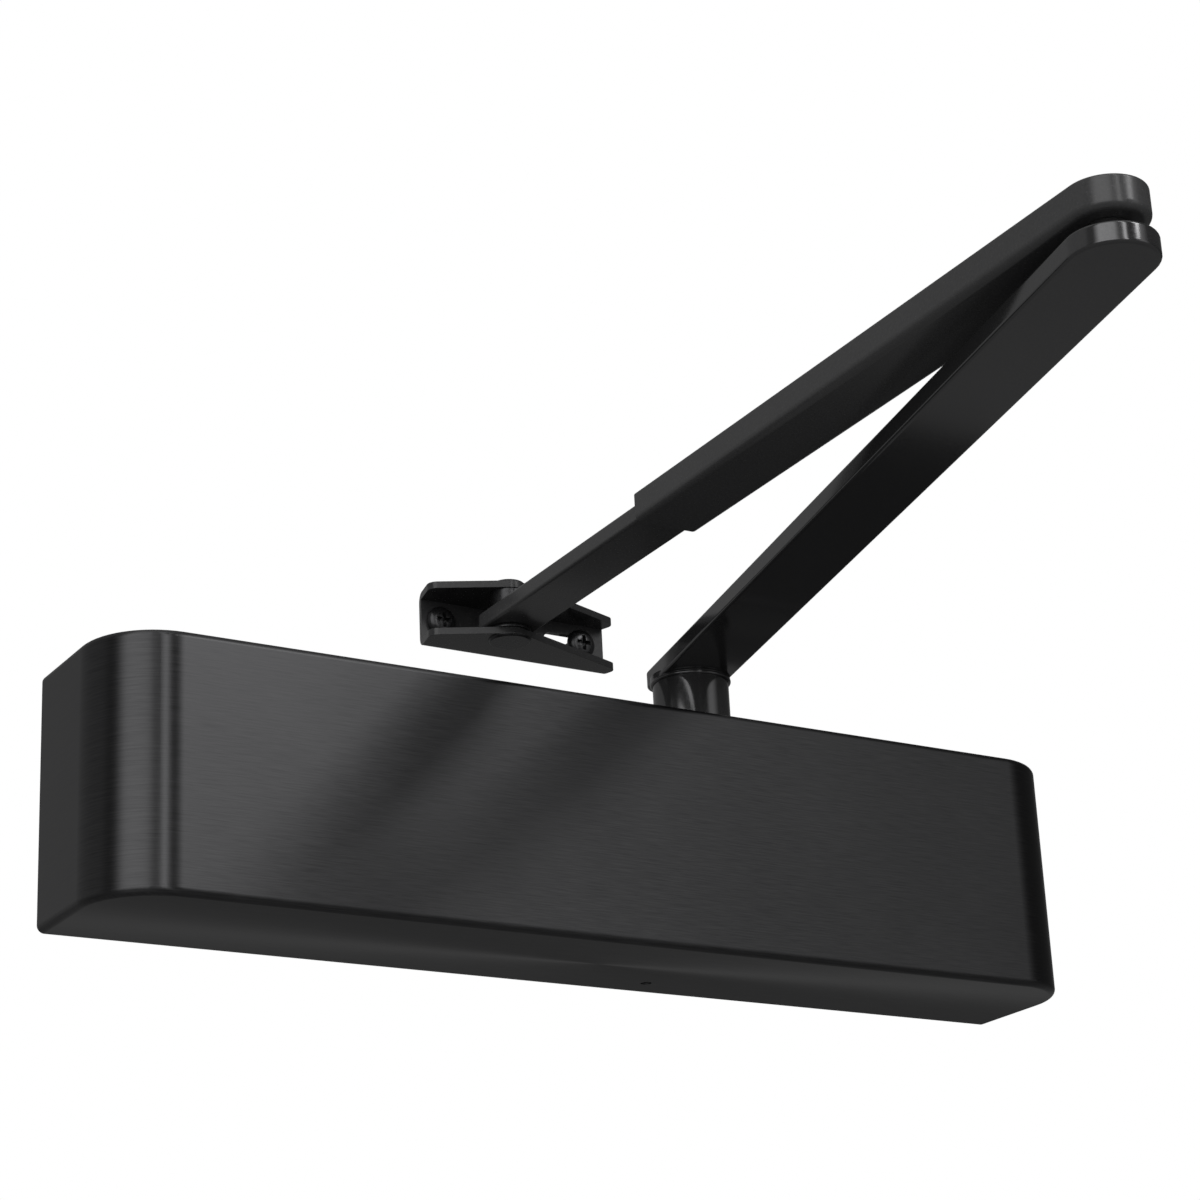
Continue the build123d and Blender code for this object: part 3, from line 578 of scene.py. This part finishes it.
def screwProfile(size):
    outer, pitch = size["thread"], size["pitch"]
    inner = outer - size["depth"]
    points = [(0, -size["shank"]), (outer - thread["tip"], -size["shank"])]
    height = -size["shank"] + thread["tip"]
    while height < -size["plain"] - pitch:
        points += [(outer, height), (outer, height + pitch * thread["crestEnd"]),
                   (inner, height + pitch * thread["root"]),
                   (inner, height + pitch * thread["rootEnd"])]
        height += pitch
    points += [(size["neck"], -size["plain"]), (size["neck"], 0)]
    return points


shoeScrew = {
    "head": 4.4, "height": 2.6, "thread": 2.4, "neck": 2.1, "shank": 8.0, "plain": 2.0,
    "pitch": 0.8, "depth": 0.45, "rim": 0.35, "rimEdge": 0.08, "dome": 0.62, "domeSteps": 8,
    "recess": 2.45, "recessWidth": 0.62, "recessDepth": 1.9, "recessOver": 0.2,
    "floorLength": 0.55, "floorWidth": 0.82, "edge": 0.08,
}


def makeShoeScrews():
    size = shoeScrew
    head, height = size["head"], size["height"]
    rim, steps = size["rim"], size["domeSteps"]
    profile = screwProfile(size) + [(head - rim, 0), (head - size["rimEdge"], size["rimEdge"]),
                                    (head, rim)]
    for step in range(1, steps + 1):
        rise = math.radians(step * 90 / steps)
        profile.append((head * math.cos(rise) ** size["dome"] if step < steps else 0,
                        rim + (height - rim) * math.sin(rise)))
    screw = newPiece("shoeScrewTemplate", lathe(profile, 64))
    for turn in (0, 90):
        bm = bmesh.new()
        bmesh.ops.create_cube(bm, size=1)
        for vertex in bm.verts:
            top = vertex.co.z > 0
            long = 2 * size["recess"] * (1 if top else size["floorLength"])
            wide = 2 * size["recessWidth"] * (1 if top else size["floorWidth"])
            vertex.co = Vector((vertex.co.x * long, vertex.co.y * wide,
                                height + (vertex.co.z - 0.5) * size["recessDepth"]
                                + size["recessOver"]))
        bmesh.ops.rotate(bm, verts=bm.verts, matrix=Matrix.Rotation(math.radians(turn), 3, "Z"))
        for vertex in bm.verts:
            vertex.co *= mm
        mesh = bpy.data.meshes.new("recess")
        bm.to_mesh(mesh)
        bm.free()
        cut(screw, newPiece("recess", mesh))
    softEdges(screw, size["edge"] * mm, 40)
    low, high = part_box("shoe_screws")
    mid = (low[2] + high[2]) / 2
    seat = low[1] + height * mm
    places = [(x, seat, mid) for x in (low[0] + head * mm, high[0] - head * mm)]
    piece = placeCopies("shoeScrewsFinished", screw, places, (math.pi / 2, 0.0, 0.0),
                        slotOf["shoe_screws"])
    settle(piece, "shoe_screws")


bodyScrew = {
    "head": 4.25, "height": 5.0, "thread": 2.5, "neck": 2.3, "shank": 10.8, "plain": 2.6,
    "pitch": 0.8, "depth": 0.4, "socket": 4.0, "socketDepth": 3.0,
    "drillPoint": 0.6, "underEdge": 0.3, "topEdge": 0.5,
}


def makeBodyScrews():
    size = bodyScrew
    head, height = size["head"], size["height"]
    under, top = size["underEdge"], size["topEdge"]
    profile = screwProfile(size) + [(head - under, 0), (head, under), (head, height - top),
                                    (head - top, height), (0, height)]
    screw = newPiece("bodyScrewTemplate", lathe(profile, 72))
    across = size["socket"] / math.sqrt(3)
    bottom = height - size["socketDepth"]
    key = lathe([(0, bottom - size["drillPoint"]), (across, bottom), (across, height + 1),
                 (0, height + 1)], 6)
    cut(screw, newPiece("key", key))
    low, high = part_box("body_screws")
    xs = (low[0] + head * mm, high[0] - head * mm)
    zs = (low[2] + head * mm, high[2] - head * mm)
    seat = low[1] + height * mm
    places = [(x, seat, z) for x in xs for z in zs]
    piece = placeCopies("bodyScrewsFinished", screw, places, (math.pi / 2, 0.0, 0.0),
                        slotOf["body_screws"])
    settle(piece, "body_screws")


collar = {"boss": 10.95, "bead": 0.6, "thickness": 5.3, "steps": 20}


def makeCollar():
    bead = collar["bead"]
    circle = [2 * math.pi * k / collar["steps"] for k in range(collar["steps"])] + [0.0]
    profile = [(collar["boss"] + bead * math.cos(turn), bead * (math.sin(turn) - 1))
               for turn in circle]
    piece = newPiece("armCollar", lathe(profile, 96))
    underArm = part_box("knuckle_washer")[0][2] - collar["thickness"] * mm
    axis = middle("spindle")
    piece.data.transform(Matrix.Translation((axis.x, axis.y, underArm)))
    smoothed(piece.data, 60)
    piece.data.materials.append(materials["arm_gloss"])
    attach(piece, bodyOf["main_arm"])


makeShoeScrews()
makeBodyScrews()
makeCollar()
print("screws placed")

spring = {"turns": 10.0, "wire": 4.8, "coil": 12.3, "steps": 640, "round": 20}


def springTree():
    tree = bpy.data.node_groups.new("coilSpring", "GeometryNodeTree")
    add = tree.interface.new_socket
    for title in ("Turns", "Coil", "Wire", "Length"):
        add(title, in_out="INPUT", socket_type="NodeSocketFloat")
    add("Place", in_out="INPUT", socket_type="NodeSocketVector")
    add("Finish", in_out="INPUT", socket_type="NodeSocketMaterial")
    add("Spring", in_out="OUTPUT", socket_type="NodeSocketGeometry")
    put, link = tree.nodes.new, tree.links.new
    given, out = put("NodeGroupInput"), put("NodeGroupOutput")
    coil = put("GeometryNodeCurveSpiral")
    coil.inputs["Resolution"].default_value = spring["steps"] // int(spring["turns"])
    link(given.outputs["Turns"], coil.inputs["Rotations"])
    link(given.outputs["Coil"], coil.inputs["Start Radius"])
    link(given.outputs["Coil"], coil.inputs["End Radius"])
    link(given.outputs["Length"], coil.inputs["Height"])
    wire = put("GeometryNodeCurvePrimitiveCircle")
    wire.inputs["Resolution"].default_value = spring["round"]
    link(given.outputs["Wire"], wire.inputs["Radius"])
    sweep = put("GeometryNodeCurveToMesh")
    sweep.inputs["Fill Caps"].default_value = True
    link(coil.outputs[0], sweep.inputs["Curve"])
    link(wire.outputs[0], sweep.inputs["Profile Curve"])
    move = put("GeometryNodeTransform")
    move.inputs["Rotation"].default_value = (0, math.pi / 2, 0)
    link(sweep.outputs[0], move.inputs["Geometry"])
    link(given.outputs["Place"], move.inputs["Translation"])
    solid = put("GeometryNodeRealizeInstances")
    link(move.outputs[0], solid.inputs[0])
    paint = put("GeometryNodeSetMaterial")
    link(solid.outputs[0], paint.inputs["Geometry"])
    link(given.outputs["Finish"], paint.inputs["Material"])
    link(paint.outputs[0], out.inputs[0])
    return tree


def makeSpring():
    low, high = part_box("spring")
    piece = newPiece("springFinished", bpy.data.meshes.new("spring"))
    modifier = piece.modifiers.new("coil", "NODES")
    modifier.node_group = springTree()
    wire = spring["wire"] * mm / 2
    setInput(modifier, "Turns", spring["turns"])
    setInput(modifier, "Coil", spring["coil"] * mm)
    setInput(modifier, "Wire", wire)
    setInput(modifier, "Length", high[0] - low[0] - 2 * wire)
    setInput(modifier, "Place", (low[0] + wire, (low[1] + high[1]) / 2, (low[2] + high[2]) / 2))
    setInput(modifier, "Finish", materials["spring_steel"])
    applyModifiers(piece)
    smoothed(piece.data, 50)
    settle(piece, "spring")


makeSpring()
print("spring coiled")
